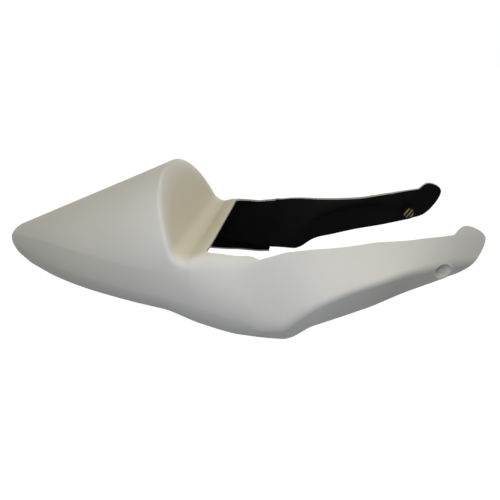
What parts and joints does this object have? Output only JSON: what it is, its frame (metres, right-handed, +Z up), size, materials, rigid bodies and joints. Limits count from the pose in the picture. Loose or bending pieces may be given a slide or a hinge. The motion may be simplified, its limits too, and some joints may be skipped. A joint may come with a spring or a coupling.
{
  "type": "motorcycle tail fairing",
  "caption": "Open-bottomed one-piece tail fairing with a tapering hump, upright bum stop, seat opening and side arms that bolt to the subframe at their front ends.",
  "frame": {"origin": "middle of the axis through the two front bolt holes, on the symmetry plane", "axes": "+X forward along the bike, +Y to the bike's left along the bolt axis, +Z up"},
  "size_m": [0.7787, 0.3214, 0.2133],
  "materials": {
    "gelcoat": "satin"
  },
  "bodies": {
    "root": {"tail_fairing": "gelcoat"}
  },
  "joints": []
}
